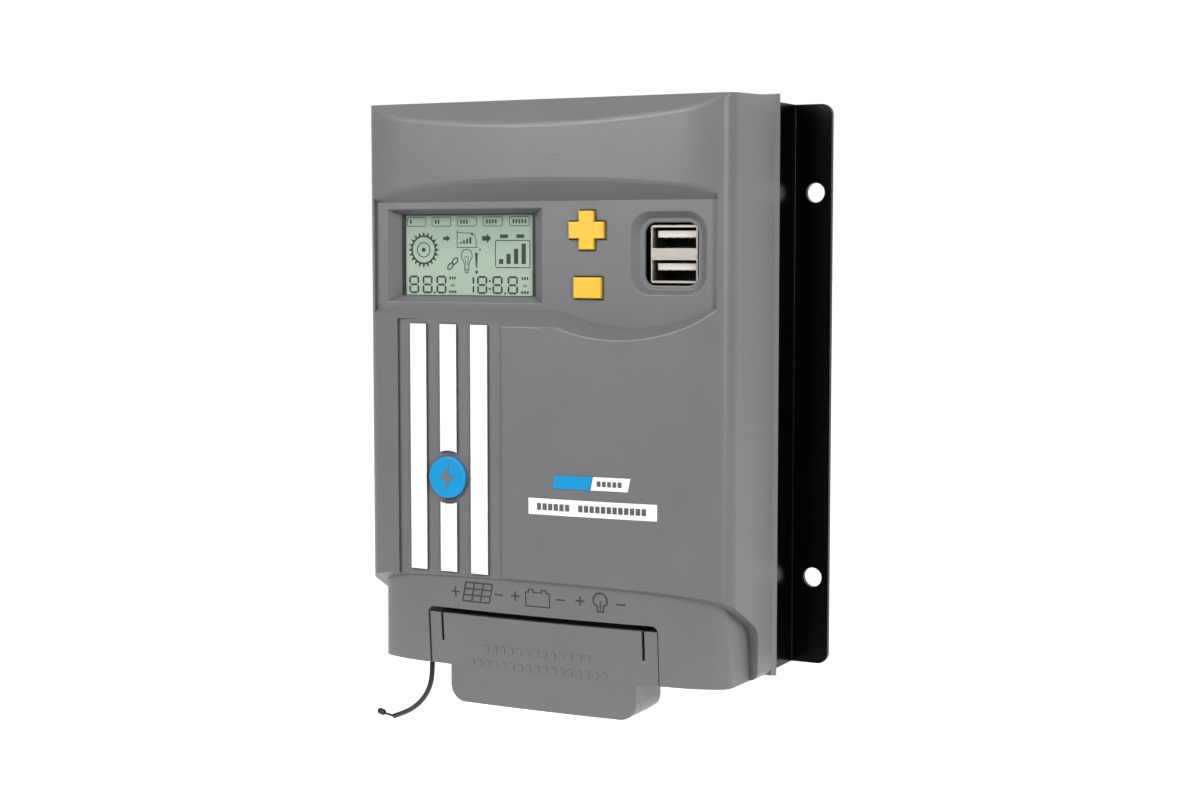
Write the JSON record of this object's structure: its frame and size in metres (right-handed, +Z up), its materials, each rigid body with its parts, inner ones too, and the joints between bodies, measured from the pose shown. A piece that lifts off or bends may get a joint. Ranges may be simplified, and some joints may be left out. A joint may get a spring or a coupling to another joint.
{
  "type": "solar charge controller",
  "caption": "Wall-mounted solar battery charge controller with a segment display, two keys, stacked USB sockets and a clip-on terminal cover.",
  "frame": {"origin": "centre of the four wall holes, on the face of the steel plate that lies on the wall", "axes": "+X to the right seen from the front, +Y into the wall, +Z up"},
  "size_m": [0.1374, 0.0502, 0.1843],
  "materials": {
    "shell_plastic": "fine moulded texture",
    "bracket_paint": "gloss powder coat",
    "screw_steel": "zinc plated",
    "white_film": "satin film",
    "blue_plastic": "gloss",
    "display_glass": "polarised display glass",
    "light_guide": "clear acrylic",
    "elastomer": "matt",
    "dark_plastic": "satin",
    "circuit_board": "solder mask",
    "yellow_plastic": "satin",
    "tin_plate": "tin plated",
    "usb_plastic": "satin",
    "gilt_contact": "gold flash",
    "brass_post": "turned",
    "capacitor_can": "sleeved",
    "ferrite": "matt",
    "copper_wire": "enamelled",
    "chip_resin": "matt",
    "clamp_aluminium": "extruded",
    "fuse_ceramic": "matt",
    "cable_jacket": "satin",
    "terminal_plastic": "satin",
    "cage_steel": "zinc plated",
    "sensor_resin": "dipped resin"
  },
  "bodies": {
    "housing": {"front_shell": "shell_plastic", "mounting_bracket": "bracket_paint", "shell_screws": "screw_steel", "display_board_screws": "screw_steel", "main_board_screws": "screw_steel", "clamp_bar_screws": "screw_steel", "side_stripes": "white_film", "centre_stripes": "white_film", "model_plate_white": "white_film", "name_plate": "white_film", "badge_disc": "blue_plastic", "model_plate_blue": "blue_plastic", "lcd_cell": "display_glass", "lcd_backlight": "light_guide", "lcd_connector_strips": "elastomer", "lcd_bezel": "dark_plastic", "display_board": "circuit_board", "main_board": "circuit_board", "button_switches": "dark_plastic", "usb_shell": "tin_plate", "usb_insulator": "usb_plastic", "usb_contacts": "gilt_contact", "board_standoffs": "brass_post", "bulk_capacitors": "capacitor_can", "inductor_core": "ferrite", "inductor_winding": "copper_wire", "power_transistors": "chip_resin", "control_chip": "chip_resin", "driver_chips": "chip_resin", "thermal_pad": "elastomer", "transistor_clamp_bar": "clamp_aluminium", "shunt_resistors": "copper_wire", "board_fuses": "fuse_ceramic", "ribbon_sockets": "usb_plastic", "ribbon_cable": "cable_jacket", "terminal_block": "terminal_plastic", "terminal_bars": "brass_post", "sensor_grommet": "elastomer", "sensor_lead": "cable_jacket", "sensor_legs": "tin_plate", "sensor_bead": "sensor_resin"},
    "plus_key": {"plus_button": "yellow_plastic", "plus_switch_plunger": "dark_plastic"},
    "minus_key": {"minus_button": "yellow_plastic", "minus_switch_plunger": "dark_plastic"},
    "cover": {"terminal_cover": "shell_plastic"},
    "screw_1": {"terminal_screw_1": "screw_steel"},
    "cage_1": {"clamp_cage_1": "cage_steel"},
    "screw_2": {"terminal_screw_2": "screw_steel"},
    "cage_2": {"clamp_cage_2": "cage_steel"},
    "screw_3": {"terminal_screw_3": "screw_steel"},
    "cage_3": {"clamp_cage_3": "cage_steel"},
    "screw_4": {"terminal_screw_4": "screw_steel"},
    "cage_4": {"clamp_cage_4": "cage_steel"},
    "screw_5": {"terminal_screw_5": "screw_steel"},
    "cage_5": {"clamp_cage_5": "cage_steel"},
    "screw_6": {"terminal_screw_6": "screw_steel"},
    "cage_6": {"clamp_cage_6": "cage_steel"}
  },
  "joints": [
    {"name": "plus_press", "type": "slide", "parent": "housing", "child": "plus_key", "axis": [0, 1, 0], "range_m": [0, 0.0005], "stiffness_N_per_m": 600, "springref_m": -0.0008},
    {"name": "minus_press", "type": "slide", "parent": "housing", "child": "minus_key", "axis": [0, 1, 0], "range_m": [0, 0.0005], "stiffness_N_per_m": 600, "springref_m": -0.0008},
    {"name": "cover_slide", "type": "slide", "parent": "housing", "child": "cover", "axis": [0, 0, -1], "range_m": [0, 0.03]},
    {"name": "screw_1_turn", "type": "hinge", "parent": "housing", "child": "screw_1", "pos_m": [-0.0275, -0.0375, -0.0735], "axis": [0, 1, 0], "range_deg": [0, 2280]},
    {"name": "cage_1_rise", "type": "slide", "parent": "housing", "child": "cage_1", "axis": [0, -1, 0], "range_m": [0, 0.00382]},
    {"name": "screw_2_turn", "type": "hinge", "parent": "housing", "child": "screw_2", "pos_m": [-0.0165, -0.0375, -0.0735], "axis": [0, 1, 0], "range_deg": [0, 2280]},
    {"name": "cage_2_rise", "type": "slide", "parent": "housing", "child": "cage_2", "axis": [0, -1, 0], "range_m": [0, 0.00382]},
    {"name": "screw_3_turn", "type": "hinge", "parent": "housing", "child": "screw_3", "pos_m": [-0.0055, -0.0375, -0.0735], "axis": [0, 1, 0], "range_deg": [0, 2280]},
    {"name": "cage_3_rise", "type": "slide", "parent": "housing", "child": "cage_3", "axis": [0, -1, 0], "range_m": [0, 0.00382]},
    {"name": "screw_4_turn", "type": "hinge", "parent": "housing", "child": "screw_4", "pos_m": [0.0055, -0.0375, -0.0735], "axis": [0, 1, 0], "range_deg": [0, 2280]},
    {"name": "cage_4_rise", "type": "slide", "parent": "housing", "child": "cage_4", "axis": [0, -1, 0], "range_m": [0, 0.00382]},
    {"name": "screw_5_turn", "type": "hinge", "parent": "housing", "child": "screw_5", "pos_m": [0.0165, -0.0375, -0.0735], "axis": [0, 1, 0], "range_deg": [0, 2280]},
    {"name": "cage_5_rise", "type": "slide", "parent": "housing", "child": "cage_5", "axis": [0, -1, 0], "range_m": [0, 0.00382]},
    {"name": "screw_6_turn", "type": "hinge", "parent": "housing", "child": "screw_6", "pos_m": [0.0275, -0.0375, -0.0735], "axis": [0, 1, 0], "range_deg": [0, 2280]},
    {"name": "cage_6_rise", "type": "slide", "parent": "housing", "child": "cage_6", "axis": [0, -1, 0], "range_m": [0, 0.00382]}
  ],
  "couplings": [
    {"joint": "cage_1_rise", "follows": "screw_1_turn", "m_per_rad": 0.000095493},
    {"joint": "cage_2_rise", "follows": "screw_2_turn", "m_per_rad": 0.000095493},
    {"joint": "cage_3_rise", "follows": "screw_3_turn", "m_per_rad": 0.000095493},
    {"joint": "cage_4_rise", "follows": "screw_4_turn", "m_per_rad": 0.000095493},
    {"joint": "cage_5_rise", "follows": "screw_5_turn", "m_per_rad": 0.000095493},
    {"joint": "cage_6_rise", "follows": "screw_6_turn", "m_per_rad": 0.000095493}
  ]
}
